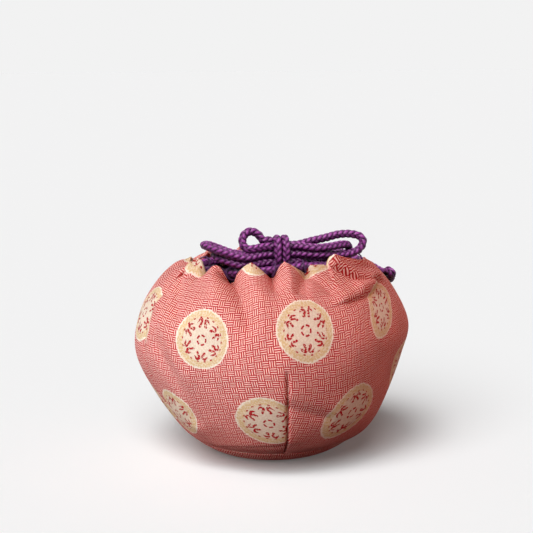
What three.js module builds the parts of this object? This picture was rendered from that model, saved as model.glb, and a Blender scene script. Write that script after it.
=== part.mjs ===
// Padded brocade pouch with a gathered mouth, drawn in by a braided cord that is tied in a bow.
// Millimetres, +Z up, front towards -Y, centre of the flat base at the origin.
import * as THREE from "three";

// Bag
const bodyHalfWidth = 57.4; // centre to the fullest point at either side
const bodyHalfDepth = 53; // centre to the fullest point at the front and at the back
const rimHeight = 78.4; // floor to the mean line of the gathered rim
const mouthLeft = 34; // centre to the left end of the rim
const mouthRight = 39;
const mouthFront = 37.2;
const mouthBack = 31;
const frontRim = 1.045; // height of the rim at the front, as a share of rimHeight
const backRim = 0.985;
const baseFlatRadius = 20; // part of the base that lies on the floor
const baseSeamRadius = 34; // where the panels are sewn to the round base
const baseSeamHeight = 6.3;
const baseSeamSlope = 38; // degrees above level of the cloth at the base seam
const clothThickness = 1.4; // brocade and its wadding
const liningThickness = 0.8;
const liningEase = 0.7; // the lining hangs this far inside the cloth
const liningTop = 0.955; // share of the way up from the base seam where the lining is turned in
const liningBottom = 0.04; // and where its wall meets its base
const fitGap = 0.3; // between pieces that touch

// Gathers: the valleys of the rim, in degrees from the front towards the right
const frontValleys = [-90, -64, -39.5, -8, 13.3, 34.5, 92];
const valleyDepths = [0.8, 0.5, 0.95, 0.85, 0.65, 0.55, 0.8]; // shares of pleatHeight, in the same order
const crestHeights = [0.15, 0.85, 1, 1, 0.7, 0.75]; // and of the crests between them
const backPleats = 6;
const leftSeam = -72; // side seams between the front panel and the back panel
const rightSeam = 86;
const pleatHeight = 3.6; // tallest crest above, and deepest valley below, the mean line of the rim
const pleatStart = 0.58; // share of the way up from the base seam where the gathers begin
const pleatRise = 0.6; // at the front, crests stand up and valleys dip by this share more
const pleatRoundness = 0.8; // below 1 the valleys are narrower than the crests
const dartDepth = 0.9; // groove of the dart in the lower front
const dartHalfAngle = 4;
const dartTop = 0.36; // share of the way up where the dart ends

// Cord and thread
const cordDiameter = 2.9;
const threadDiameter = 1;
const loopEase = 0.6; // between the cord and the thread loops it runs through
const cordLift = 1.2; // centre of the cord above the rim in the valleys
const knotLength = 7.6;
const knotOffsetX = -0.3; // knot centre from the middle of the mouth
const knotOffsetY = -25.9;
const knotLift = 8.6; // knot centre above the mean line of the rim

// Fineness of the curved surfaces
const columnsPerPleat = 8;
const liningColumnStep = 2; // the lining has every second column of the cloth
const panelRows = 14;
const liningRows = 10;
const baseRows = 4;
const baseSegments = 40;
const cordSides = 8;
const cordStep = 2 * cordDiameter;
const fewestCordSteps = 12;
const loopSides = 6;
const loopSegments = 12;
const knotSegments = 16;

// Outlines from the base seam to the rim: share of the fullest radius, share of the rim height
const leftOutline = [[0.74, 0.152], [0.882, 0.316], [1, 0.544], [0.945, 0.747], [0.805, 0.89], [0.66, 0.985]];
const rightOutline = [[0.737, 0.172], [0.849, 0.335], [0.952, 0.544], [1, 0.69], [0.895, 0.86], [0.75, 0.98]];
const frontOutline = [[0.783, 0.158], [0.896, 0.33], [1, 0.548], [0.987, 0.72], [0.9, 0.874], [0.783, 0.98]];
const backOutline = [[0.783, 0.158], [0.896, 0.33], [1, 0.557], [0.953, 0.766], [0.79, 0.91], [0.65, 0.972]];

const slope = THREE.MathUtils.degToRad(baseSeamSlope);
const seamStep = new THREE.Vector2(Math.cos(slope), Math.sin(slope)).multiplyScalar(fitGap);
const seamStart = new THREE.Vector2(baseSeamRadius, baseSeamHeight).add(seamStep);

function outline(shares, fullRadius, mouthRadius, rimShare) {
  const points = shares.map(([radius, height]) => new THREE.Vector2(radius * fullRadius, height * rimHeight));
  return new THREE.SplineCurve([seamStart, ...points, new THREE.Vector2(mouthRadius, rimShare * rimHeight)]);
}

const leftCurve = outline(leftOutline, bodyHalfWidth, mouthLeft, 1);
const rightCurve = outline(rightOutline, bodyHalfWidth, mouthRight, 1);
const frontCurve = outline(frontOutline, bodyHalfDepth, mouthFront, frontRim);
const backCurve = outline(backOutline, bodyHalfDepth, mouthBack, backRim);

const firstValley = frontValleys[0];
const lastFrontValley = frontValleys[frontValleys.length - 1];
const backPleatAngle = (360 + firstValley - lastFrontValley) / backPleats;
const valleys = [...frontValleys];
for (let index = 1; index <= backPleats; index += 1) {
  valleys.push(lastFrontValley + index * backPleatAngle);
}

const depths = [...valleyDepths, ...Array(backPleats - 1).fill(1), valleyDepths[0]];
const crests = [...crestHeights, ...Array(backPleats).fill(1)];

// Below 0 in the valleys of the rim and above 0 on the crests between them
function pleatWave(degrees) {
  const turned = THREE.MathUtils.euclideanModulo(degrees - firstValley, 360) + firstValley;
  const next = valleys.findIndex((valley, index) => index > 0 && turned <= valley);
  const share = (turned - valleys[next - 1]) / (valleys[next] - valleys[next - 1]);
  const depth = THREE.MathUtils.lerp(depths[next - 1], depths[next], share);
  return (crests[next - 1] + depth) * Math.sin(Math.PI * share) ** pleatRoundness - depth;
}

function pleatAmount(rise) {
  return pleatHeight * THREE.MathUtils.smoothstep(rise, pleatStart, 1);
}

// The bag without its gathers: an oval at each height, rise 0 at the base seam and 1 at the rim
function smoothPoint(degrees, rise) {
  const angle = THREE.MathUtils.degToRad(degrees);
  const share = Math.sin(angle) ** 2;
  const side = (Math.sin(angle) < 0 ? leftCurve : rightCurve).getPoint(rise);
  const face = (Math.cos(angle) > 0 ? frontCurve : backCurve).getPoint(rise);
  const height = THREE.MathUtils.lerp(face.y, side.y, share);
  return new THREE.Vector3(side.x * Math.sin(angle), -face.x * Math.cos(angle), height);
}

function normalOf(surface, degrees, rise) {
  const step = 0.01;
  const lower = Math.max(rise - step, 0);
  const upper = Math.min(rise + step, 1);
  const along = surface(degrees + step, rise).sub(surface(degrees - step, rise));
  const up = surface(degrees, upper).sub(surface(degrees, lower));
  return along.cross(up).normalize();
}

function dartGroove(degrees, rise) {
  const across = Math.max(0, 1 - Math.abs(degrees) / dartHalfAngle);
  const fade = 1 - THREE.MathUtils.smoothstep(rise, 0, dartTop);
  return dartDepth * across * fade;
}

// The smooth bag moved out by a gather and in by a groove, with the crests standing up
function gathered(degrees, rise, gather, groove) {
  const point = smoothPoint(degrees, rise);
  point.addScaledVector(normalOf(smoothPoint, degrees, rise), gather - groove);
  const facing = Math.max(0, Math.cos(THREE.MathUtils.degToRad(degrees)));
  return point.setZ(point.z + pleatRise * facing * gather);
}

function clothPoint(degrees, rise) {
  return gathered(degrees, rise, pleatAmount(rise) * pleatWave(degrees), dartGroove(degrees, rise));
}

// The lining follows half of each gather and touches the cloth in the valleys
function liningPoint(degrees, rise) {
  const gather = pleatAmount(rise) * ((pleatWave(degrees) + 1) / 2 - 1);
  return gathered(degrees, rise, gather, dartGroove(degrees, rise) + clothThickness + liningEase);
}

// Direction from the outer face to the inner face of the cloth at the base seam
function seamInward(degrees) {
  const angle = THREE.MathUtils.degToRad(degrees);
  const inward = new THREE.Vector3(-Math.sin(slope) * Math.sin(angle), Math.sin(slope) * Math.cos(angle), 0);
  return inward.setZ(Math.cos(slope));
}

function innerPoint(surface, degrees, rise, thickness) {
  const inward = rise === 0 ? seamInward(degrees) : normalOf(surface, degrees, rise).negate();
  return surface(degrees, rise).addScaledVector(inward, thickness);
}

// A closed solid from sections that each run up one face and back down the other
function solidFromSections(sections, isRing) {
  const count = sections[0].length;
  const positions = sections.flat().flatMap((point) => point.toArray());
  const faces = [];
  const links = isRing ? sections.length : sections.length - 1;
  for (let column = 0; column < links; column += 1) {
    const here = column * count;
    const there = ((column + 1) % sections.length) * count;
    for (let row = 0; row < count; row += 1) {
      const next = (row + 1) % count;
      faces.push(here + row, there + row, there + next, here + row, there + next, here + next);
    }
  }
  if (!isRing) {
    const last = (sections.length - 1) * count;
    for (let row = 0; row < count / 2 - 1; row += 1) {
      const far = count - 1 - row;
      faces.push(row, row + 1, far - 1, row, far - 1, far);
      faces.push(last + row, last + far - 1, last + row + 1, last + row, last + far, last + far - 1);
    }
  }
  const geometry = new THREE.BufferGeometry();
  geometry.setAttribute("position", new THREE.Float32BufferAttribute(positions, 3));
  geometry.setIndex(faces);
  return geometry;
}

const columnAngles = [];
for (let pleat = 0; pleat < valleys.length - 1; pleat += 1) {
  for (let column = 0; column < columnsPerPleat; column += 1) {
    columnAngles.push(THREE.MathUtils.lerp(valleys[pleat], valleys[pleat + 1], column / columnsPerPleat));
  }
}

const rises = Array.from({ length: panelRows + 1 }, (_, row) => row / panelRows);

// A panel from one side seam to the other
function panelGeometry(first, last) {
  const halfGap = THREE.MathUtils.radToDeg(fitGap / 2 / mouthLeft);
  const nearSeam = 1; // degrees within which a column would crowd the seam
  const turned = [...columnAngles, ...columnAngles.map((degrees) => degrees + 360)];
  const between = turned.filter((degrees) => degrees > first + nearSeam && degrees < last - nearSeam);
  const angles = [first + halfGap, ...between, last - halfGap];
  const sections = angles.map((degrees) => {
    const outer = rises.map((rise) => clothPoint(degrees, rise));
    const inner = rises.map((rise) => innerPoint(clothPoint, degrees, rise, clothThickness));
    return [...outer, ...inner.reverse()];
  });
  return solidFromSections(sections, false);
}

// Section of the round base, from the middle out to the seam
function baseCurve(height) {
  const bend = baseSeamRadius - baseSeamHeight / Math.tan(slope);
  const lift = new THREE.Vector2(-Math.sin(slope), Math.cos(slope)).multiplyScalar(height);
  const seam = new THREE.Vector2(baseSeamRadius, baseSeamHeight).add(lift);
  const flat = new THREE.Vector2(baseFlatRadius, height);
  const knee = new THREE.Vector2(bend - height * Math.tan(slope / 2), height);
  return new THREE.QuadraticBezierCurve(flat, knee, seam);
}

function baseGeometry() {
  const under = baseCurve(0).getPoints(baseRows);
  const over = baseCurve(clothThickness).getPoints(baseRows).reverse();
  const middle = [new THREE.Vector2(0, clothThickness), new THREE.Vector2(0, 0)];
  return new THREE.LatheGeometry([new THREE.Vector2(0, 0), ...under, ...over, ...middle], baseSegments);
}

function liningGeometry() {
  const liningRises = Array.from({ length: liningRows + 1 }, (_, row) => {
    return THREE.MathUtils.lerp(liningBottom, liningTop, row / liningRows);
  });
  const floor = clothThickness + liningEase;
  const under = baseCurve(floor).getPoints(baseRows).slice(0, baseRows);
  const over = baseCurve(floor + liningThickness).getPoints(baseRows).slice(0, baseRows);
  const angles = columnAngles.filter((_, column) => column % liningColumnStep === 0);
  const sections = angles.map((degrees) => {
    const angle = THREE.MathUtils.degToRad(degrees);
    const turn = (point) => new THREE.Vector3(point.x * Math.sin(angle), -point.x * Math.cos(angle), point.y);
    const outer = liningRises.map((rise) => liningPoint(degrees, rise));
    const inner = liningRises.map((rise) => innerPoint(liningPoint, degrees, rise, liningThickness));
    const underside = [new THREE.Vector3(0, 0, floor), ...under.map(turn)];
    const inside = [new THREE.Vector3(0, 0, floor + liningThickness), ...over.map(turn)];
    return [...underside, ...outer, ...inner.reverse(), ...inside.reverse()];
  });
  const skin = solidFromSections(sections, true);
  return withoutSpokes(skin, sections[0].length);
}

// The sections all share their two points on the axis, so the strip between those two is left out
function withoutSpokes(geometry, count) {
  const kept = [];
  const index = geometry.getIndex().array;
  for (let face = 0; face < index.length; face += 3) {
    const rows = [index[face] % count, index[face + 1] % count, index[face + 2] % count];
    const onAxis = rows.filter((row) => row === 0 || row === count - 1);
    if (onAxis.length < 2) {
      kept.push(index[face], index[face + 1], index[face + 2]);
    }
  }
  geometry.setIndex(kept);
  return geometry;
}

// The cord lies just beyond the rim, held there by a thread loop in each valley
const loopRadius = cordDiameter / 2 + loopEase + threadDiameter / 2;
const loopReach = loopRadius + threadDiameter / 2 + fitGap;

function rimFrame(degrees) {
  const edge = clothPoint(degrees, 1);
  const outward = normalOf(smoothPoint, degrees, 1);
  const onward = smoothPoint(degrees, 1).sub(smoothPoint(degrees, 0.99)).normalize();
  const centre = edge.clone().addScaledVector(outward, cordLift).addScaledVector(onward, loopReach);
  return { outward, onward, centre };
}

function loopGeometry(degrees) {
  const { outward, onward, centre } = rimFrame(degrees);
  const geometry = new THREE.TorusGeometry(loopRadius, threadDiameter / 2, loopSides, loopSegments);
  const axis = new THREE.Vector3().crossVectors(outward, onward).normalize();
  geometry.applyMatrix4(new THREE.Matrix4().makeBasis(outward, onward, axis));
  geometry.translate(centre.x, centre.y, centre.z);
  return geometry;
}

function tubeGeometry(points) {
  const section = new THREE.Shape().absarc(0, 0, cordDiameter / 2, 0, 2 * Math.PI);
  const path = new THREE.CatmullRomCurve3(points);
  const steps = Math.max(fewestCordSteps, Math.round(path.getLength() / cordStep));
  const curveSegments = cordSides / 2;
  return new THREE.ExtrudeGeometry(section, { steps, curveSegments, extrudePath: path, bevelEnabled: false });
}

const knotCentre = new THREE.Vector3(knotOffsetX, knotOffsetY, rimHeight + knotLift);
const strandPitch = cordDiameter + fitGap;

// Where a strand meets the knot: side -1 left or 1 right, row -1 to 1 upwards, layer -1 front or 1 back
function knotEnd(side, row, layer, clearance) {
  const reach = side * (knotLength / 2 + clearance);
  return new THREE.Vector3(reach, layer * strandPitch / 2, row * strandPitch).add(knotCentre);
}

// A strand leaves the knot straight
function knotLead(side, row, layer) {
  return [knotEnd(side, row, layer, fitGap), knotEnd(side, row, layer, cordDiameter)];
}

function nearKnot(offsets) {
  return offsets.map(([x, y, z]) => new THREE.Vector3(x, y, z).add(knotCentre));
}

// Two turns of cord round the strands of the bow
function knotGeometry() {
  const squeezed = 0.8 * cordDiameter;
  const halfHeight = 1.5 * strandPitch + squeezed;
  const halfDepth = strandPitch + squeezed;
  const waist = halfHeight - cordDiameter / 3;
  const face = 0.8 * waist;
  const end = knotLength / 2;
  const turnOuter = 0.7 * end;
  const turnInner = 0.3 * end;
  const profile = [[0, -end], [face, -end], [halfHeight, -turnOuter], [halfHeight, -turnInner], [waist, 0],
    [halfHeight, turnInner], [halfHeight, turnOuter], [face, end], [0, end], [0, -end]];
  const points = profile.map(([x, y]) => new THREE.Vector2(x, y));
  const geometry = new THREE.LatheGeometry(points, knotSegments);
  geometry.rotateZ(-Math.PI / 2);
  geometry.scale(1, 1, halfDepth / halfHeight);
  geometry.rotateX(Math.PI / 2);
  geometry.translate(knotCentre.x, knotCentre.y, knotCentre.z);
  return geometry;
}

// Routes of the bow, as offsets from the centre of the knot
const smallLoop = [[-9.2, 2.1, 7.9], [-12.2, 1.8, 8.9], [-14.8, 0.8, 7.3], [-15.4, -0.6, 4.6],
  [-13.8, -2, 2.6]];
const leftOuterLoop = [[-14.1, -3.4, -1], [-20.7, -2.3, 0.6], [-26, 0.7, 2.1], [-29.2, 4.7, 2.9],
  [-29.7, 9.3, 2.6], [-27.5, 13.1, 1.9], [-23.3, 14.5, 0.2], [-18.3, 12.9, -1.5], [-13, 8.2, -1.4]];
const leftInnerLoop = [[-14.2, -3.2, -4.1], [-19.9, -1.8, -2.9], [-24, 1, -1.7], [-25.7, 4.4, -0.9],
  [-25.3, 8, -1.4], [-22.6, 10.2, -3.4], [-18.1, 9.6, -5.4], [-12.6, 6.2, -5.2]];
const rightLoop = [[12.8, 2, 4.5], [18.8, 3.3, 5.5], [24.3, 4.6, 6.5], [29.3, 4.9, 6.5],
  [32.9, 4.2, 5.5], [34, 3.4, 3.7], [32.5, 2.6, 0.8], [28, 1.6, -1], [22.2, 0, -1], [15.2, -2.8, -0.5]];
const backLoop = [[13.9, 4.7, -3.6], [21.3, 13.9, -4.4], [27.3, 24.9, -5], [31.7, 33.9, -5.2],
  [35.5, 39.1, -4.8], [40.3, 42.2, -7.6], [43.2, 43.1, -10.9], [46.6, 41.6, -12.6], [49.3, 39.1, -14],
  [50.6, 36, -14.7], [50.8, 32.9, -14], [50.8, 30.2, -12.9], [51.9, 27.8, -13.9], [52.6, 27.8, -15.8],
  [52.5, 30.2, -17], [52.6, 32.8, -17.7], [52.6, 36.7, -18.3], [51.4, 40.6, -18.5], [48.5, 43.7, -16.8],
  [44.3, 45.9, -14.9], [39.9, 46.9, -11.6], [36, 45.2, -7.6], [31.3, 39.5, -5], [25.9, 29.9, -3.6],
  [20.8, 17.9, -2.2], [14.9, 7.3, -0.8]];
const upperStrand = [[13.6, -3.2, 2.5], [19.5, -1.6, 2.6], [24.8, 1, 2.9], [27.8, 3.8, 2.1],
  [29, 6.8, -0.4], [28.8, 9.4, -3.5], [29.5, 13, -5.8], [31.7, 18, -7.6]];
const lowerStrand = [[24.4, -0.4, -5.6], [23.6, 2.8, -6], [18.6, 3.6, -6.1], [13, 0.8, -5]];

function mouthCordGeometry() {
  const backFirst = frontValleys.length - 1;
  const backToFront = [...valleys.slice(backFirst, -1), ...frontValleys.slice(0, -1)];
  const held = backToFront.map((degrees) => rimFrame(degrees).centre);
  const start = [...knotLead(1, 1, -1), ...nearKnot(upperStrand)];
  const finish = [...nearKnot(lowerStrand), ...knotLead(1, -1, -1).reverse()];
  return tubeGeometry([...start, ...held, ...finish]);
}

function bowLoopGeometry(offsets, side, startRow, startLayer, endRow, endLayer) {
  const start = knotLead(side, startRow, startLayer);
  const finish = knotLead(side, endRow, endLayer).reverse();
  return tubeGeometry([...start, ...nearKnot(offsets), ...finish]);
}

const brocade = new THREE.MeshStandardMaterial({ color: 0xd98078, roughness: 0.8, metalness: 0 });
const liningSilk = new THREE.MeshStandardMaterial({ color: 0x2a1730, roughness: 0.7, metalness: 0 });
const purpleCord = new THREE.MeshStandardMaterial({ color: 0x5a235f, roughness: 0.75, metalness: 0 });

const pouch = new THREE.Group();
pouch.name = "drawstring_pouch";

function add(name, geometry, material) {
  const mesh = new THREE.Mesh(geometry, material);
  mesh.name = name;
  pouch.add(mesh);
}

add("front_panel", panelGeometry(leftSeam, rightSeam), brocade);
add("back_panel", panelGeometry(rightSeam, leftSeam + 360), brocade);
add("base_panel", baseGeometry().rotateX(Math.PI / 2), brocade);
add("lining", liningGeometry(), liningSilk);
valleys.slice(0, -1).forEach((degrees, index) => {
  add(`rim_loop_${index + 1}`, loopGeometry(degrees), purpleCord);
});
add("mouth_cord", mouthCordGeometry(), purpleCord);
add("bow_knot", knotGeometry(), purpleCord);
add("bow_loop_small", bowLoopGeometry(smallLoop, -1, 1.6, 1, 1, -1), purpleCord);
add("bow_loop_left_outer", bowLoopGeometry(leftOuterLoop, -1, 0, -1, 0, 1), purpleCord);
add("bow_loop_left_inner", bowLoopGeometry(leftInnerLoop, -1, -1, -1, -1, 1), purpleCord);
add("bow_loop_right", bowLoopGeometry(rightLoop, 1, 1, 1, 0, -1), purpleCord);
add("bow_loop_back", bowLoopGeometry(backLoop, 1, -1, 1, 0, 1), purpleCord);

export default pouch;
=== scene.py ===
import math
import bpy
import numpy as np
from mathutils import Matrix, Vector


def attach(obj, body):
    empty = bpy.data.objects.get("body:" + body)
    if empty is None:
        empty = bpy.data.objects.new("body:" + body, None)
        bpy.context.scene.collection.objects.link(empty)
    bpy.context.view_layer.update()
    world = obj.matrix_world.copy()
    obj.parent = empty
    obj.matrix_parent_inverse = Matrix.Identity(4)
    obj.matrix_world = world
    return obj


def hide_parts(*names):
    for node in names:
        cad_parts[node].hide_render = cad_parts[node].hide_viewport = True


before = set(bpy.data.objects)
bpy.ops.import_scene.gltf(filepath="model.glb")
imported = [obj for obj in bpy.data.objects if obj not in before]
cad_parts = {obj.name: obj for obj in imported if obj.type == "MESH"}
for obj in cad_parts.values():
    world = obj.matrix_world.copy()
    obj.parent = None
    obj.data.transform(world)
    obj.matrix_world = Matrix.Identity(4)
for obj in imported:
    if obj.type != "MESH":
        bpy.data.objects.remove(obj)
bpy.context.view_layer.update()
bpy.ops.object.select_all(action="DESELECT")
stage = bpy.context.scene
stage.view_settings.view_transform = "Standard"
mm = 0.001  # shapes are worked out in millimetres, as on the bench
uvPerMm = 0.01


def linear(hexCode):
    parts = [int(hexCode[i:i + 2], 16) / 255 for i in (1, 3, 5)]
    return [p / 12.92 if p <= 0.04045 else ((p + 0.055) / 1.055) ** 2.4 for p in parts] + [1]


def addNode(tree, kind, inputs=None, out=0, **settings):
    node = tree.nodes.new("ShaderNode" + kind)
    for name, value in settings.items():
        setattr(node, name, value)
    for key, value in (inputs or {}).items():
        if isinstance(value, bpy.types.NodeSocket):
            tree.links.new(value, node.inputs[key])
        else:
            node.inputs[key].default_value = value
    return node if out is None else node.outputs[out]


def maths(tree, operation, *values):
    return addNode(tree, "Math", dict(enumerate(values)), operation=operation)


def blend(tree, share, first, second):
    colours = {0: share, 6: first, 7: second}
    return addNode(tree, "Mix", colours, out=2, data_type="RGBA")


def fillRamp(ramp, stops):
    ramp.elements[0].position, ramp.elements[-1].position = stops[0][0], stops[-1][0]
    for place, _ in stops[1:-1]:
        ramp.elements.new(place)
    for element, (_, colour) in zip(ramp.elements, stops):
        element.color = linear(colour)


def seenDirectly(tree):  # 1 where the camera sees a thing, also by a mirror or through glass
    rays = addNode(tree, "LightPath", out=None).outputs
    seen = maths(tree, "MAXIMUM", rays["Is Camera Ray"], rays["Is Glossy Ray"])
    return maths(tree, "MAXIMUM", seen, rays["Is Transmission Ray"])


def newMaterial(name):
    material = bpy.data.materials.new(name)
    material.use_nodes = True
    return material, material.node_tree, material.node_tree.nodes["Principled BSDF"]


def smoothStep(x, low, high):
    t = np.clip((x - low) / (high - low), 0, 1)
    return t * t * (3 - 2 * t)


def unit(v):
    return v / np.maximum(np.linalg.norm(v, axis=-1, keepdims=True), 1e-9)


def gridFaces(across, along, loopAcross=False, loopAlong=False, start=0):
    i = np.arange(across if loopAcross else across - 1)[:, None]
    j = np.arange(along if loopAlong else along - 1)[None, :]
    nextI, nextJ = (i + 1) % across * along, (j + 1) % along
    quads = np.stack([i * along + j, nextI + j, nextI + nextJ, i * along + nextJ], -1)
    return (quads.reshape(-1, 4) + start).tolist()


def meshPiece(name, points, faces, uvName=None, uv=None, values=None):
    mesh = bpy.data.meshes.new(name)
    mesh.from_pydata((np.asarray(points) * mm).tolist(), [], faces)
    mesh.update()
    if uvName:
        corner = np.zeros(len(mesh.loops), np.int32)
        mesh.loops.foreach_get("vertex_index", corner)
        layer = mesh.uv_layers.new(name=uvName)
        layer.data.foreach_set("uv", np.asarray(uv, np.float32)[corner].ravel())
    for key, data in (values or {}).items():
        attribute = mesh.attributes.new(key, "FLOAT", "POINT")
        attribute.data.foreach_set("value", np.asarray(data, np.float32))
    mesh.polygons.foreach_set("use_smooth", np.ones(len(mesh.polygons), bool))
    piece = bpy.data.objects.new(name, mesh)
    stage.collection.objects.link(piece)
    return piece


# camera at the photo's angle: 8 degrees to the left of the front, 10.5 degrees down
view = {"place": (-86.8, -600.4, 189.4), "aim": (-2.38, 0.33, 77.0), "lens": 100, "sensor": 36}
cameraData = bpy.data.cameras.new("photo_camera")
cameraData.lens = view["lens"]
cameraData.sensor_width = view["sensor"]
camera = bpy.data.objects.new("photo_camera", cameraData)
camera.location = Vector(view["place"]) * mm
camera.rotation_euler = (Vector(view["aim"]) - Vector(view["place"])).to_track_quat("-Z", "Y").to_euler()
stage.collection.objects.link(camera)
stage.camera = camera
print("camera placed")

# the bag's shape: outlines from the base seam to the rim as shares of full radius and rim height
bag = {
    "halfWidth": 57.4, "halfDepth": 53.0, "rimHeight": 78.4,
    "mouthLeft": 35.0, "mouthRight": 39.0, "mouthFront": 37.2, "mouthBack": 31.0,
    "frontRim": 1.045, "backRim": 0.985,  # height of the rim at front and back, as a share
    "seamRadius": 34.0, "seamHeight": 6.3, "seamSlope": 38.0, "seamGap": 0.3,
    "left": [[.698, .152], [.852, .316], [.994, .544], [.968, .747], [.858, .89], [.715, .985]],
    "right": [[.737, .172], [.849, .335], [.952, .544], [1, .69], [.895, .86], [.75, .98]],
    "front": [[.783, .158], [.896, .33], [1, .548], [.987, .72], [.9, .874], [.783, .98]],
    "back": [[.783, .158], [.896, .33], [1, .557], [.953, .766], [.79, .91], [.65, .972]],
    "pleatStart": 0.72, "valleySharp": 1.25, "keel": 2.6, "keelWide": 14.0,
    "leftSeam": -72.0, "rightSeam": 86.0, "seamGroove": 0.5,
    "dartTop": 0.475, "dartLean": -4.4, "clothThickness": 1.4,
    "dart": [(1.4, 0.55), (0.4, 3.0)],  # depth and half width of its groove, and of the dip around it
    "dartFade": 0.41, "dartRadius": 50.0, "keelSoft": 3.0, "sideRadius": 52.0, "seamGrooveWide": 1.2,
    "pleatPower": 1.3, "ripple": 0.35,
    "slantAt": [-72, -60, -40, -24, -8, 2, 13, 27, 60, 90],  # degrees round the bag
    "slant": [0, 0, 62, 42, 22, -5, -30, 40, 60, 0],  # and how far aslant the folds run there
}


def profileAt(shares, fullRadius, mouthRadius, rimShare, rise):
    slope = math.radians(bag["seamSlope"])
    gap = bag["seamGap"]
    start = [bag["seamRadius"] + gap * math.cos(slope), bag["seamHeight"] + gap * math.sin(slope)]
    knots = [start] + [[r * fullRadius, h * bag["rimHeight"]] for r, h in shares]
    knots.append([mouthRadius, rimShare * bag["rimHeight"]])
    p = np.array(knots)
    last = len(p) - 1
    at = np.clip(rise, 0, 1) * last
    i = np.floor(at).astype(int)
    t = (at - i)[..., None]
    p0, p1 = p[np.maximum(i - 1, 0)], p[i]
    p2, p3 = p[np.minimum(i + 1, last)], p[np.minimum(i + 2, last)]
    v0, v1 = (p2 - p0) / 2, (p3 - p1) / 2
    return (2 * p1 - 2 * p2 + v0 + v1) * t ** 3 + (3 * p2 - 3 * p1 - 2 * v0 - v1) * t ** 2 + v0 * t + p1


def smoothPoint(degrees, rise):
    degrees, rise = np.broadcast_arrays(np.asarray(degrees, float), np.asarray(rise, float))
    angle = np.radians(degrees)
    left = profileAt(bag["left"], bag["halfWidth"], bag["mouthLeft"], 1, rise)
    right = profileAt(bag["right"], bag["halfWidth"], bag["mouthRight"], 1, rise)
    front = profileAt(bag["front"], bag["halfDepth"], bag["mouthFront"], bag["frontRim"], rise)
    back = profileAt(bag["back"], bag["halfDepth"], bag["mouthBack"], bag["backRim"], rise)
    side = np.where((np.sin(angle) < 0)[..., None], left, right)
    face = np.where((np.cos(angle) > 0)[..., None], front, back)
    share = np.sin(angle) ** 2
    z = face[..., 1] * (1 - share) + side[..., 1] * share
    return np.stack([side[..., 0] * np.sin(angle), -face[..., 0] * np.cos(angle), z], -1)


def smoothNormal(degrees, rise):
    along = smoothPoint(degrees + 0.05, rise) - smoothPoint(degrees - 0.05, rise)
    up = smoothPoint(degrees, np.minimum(rise + 0.01, 1)) - smoothPoint(degrees, np.maximum(rise - 0.01, 0))
    return unit(np.cross(along, up))


# the gathered rim: at each place in degrees, the turn aside in degrees, then mm pushed out and mm lifted
rim = np.array([
    [-90, 0, -.6, .6], [-78, .4, .5, 1.6], [-68, 0, 1, 3.2], [-63, 0, .6, 2.4], [-59, -.2, -2.2, -.2],
    [-51, 4.3, 1.6, 1], [-39.5, -.9, -2.8, -1.5], [-36.5, -.6, -2.6, -1.2], [-22, .2, 1.8, 2.1],
    [-10, 0, -2.2, -1.4], [-8, 0, -2.4, -1.6], [2.5, -2.7, 1.8, 2.3], [13.3, -.7, -1.9, -.8],
    [18.5, -2.9, 1.8, .9], [24.5, 0, 2.2, .3], [26.3, 0, 1.8, 3.4], [43, 0, 1.4, 2.6], [58, 0, 1, 1.9],
    [72, 0, .6, 1.5], [84, 0, .3, 1.9], [92, 0, -1.6, .2], [106.8, 0, .2, -1.4], [121.667, 0, -3.2, -.6],
    [136.5, 0, 3, 0], [151.333, 0, -3.6, 0], [166, 0, 3, 0], [181, 0, -3.6, 0], [196, 0, 3, 0],
    [210.667, 0, -3.6, 0], [225.5, 0, 2.6, 0], [240.333, 0, -3, 0], [255, 0, 1.4, .6], [270, 0, -.6, .6]])
# its valleys, of which two hide behind the rim
valleys = [[-90, 0, -2, -1.8]] + [rim[i] for i in (4, 6, 10, 12)] + [[34.5, 0, -2, -1]]
valleys += [rim[i] for i in (20, 22, 24, 26, 28, 30)]


def rimAt(degrees):
    turned = np.mod(degrees - rim[0, 0], 360) + rim[0, 0]
    i = np.clip(np.searchsorted(rim[:, 0], turned, side="right") - 1, 0, len(rim) - 2)
    a, b = rim[i], rim[i + 1]
    share = np.clip((turned - a[..., 0]) / (b[..., 0] - a[..., 0]), 0, 1)
    sharp = bag["valleySharp"]  # folds are tight in the valleys and round on the crests
    eased = np.where(b[..., 2] >= a[..., 2], 1 - (1 - share) ** sharp, share ** sharp)
    return a + (b - a) * eased[..., None]


def gathered(rise):
    return np.clip((rise - bag["pleatStart"]) / (1 - bag["pleatStart"]), 0, 1)


def pleatRelief(degrees, rise):  # the folds run aslant as they die out below the rim
    slant = np.interp(degrees, bag["slantAt"], bag["slant"])
    return rimAt(degrees - slant * (1 - rise))[..., 2] * gathered(rise) ** bag["pleatPower"]


# folds pressed into the cloth: path in (degrees, rise), depth in mm (below 0 it swells), half width in mm,
# and the step in mm by which the cloth above the path stands proud of the cloth below it
def fold(depth, wide, *path, step=0):
    return {"path": path, "depth": depth, "wide": wide, "step": step}


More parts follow.
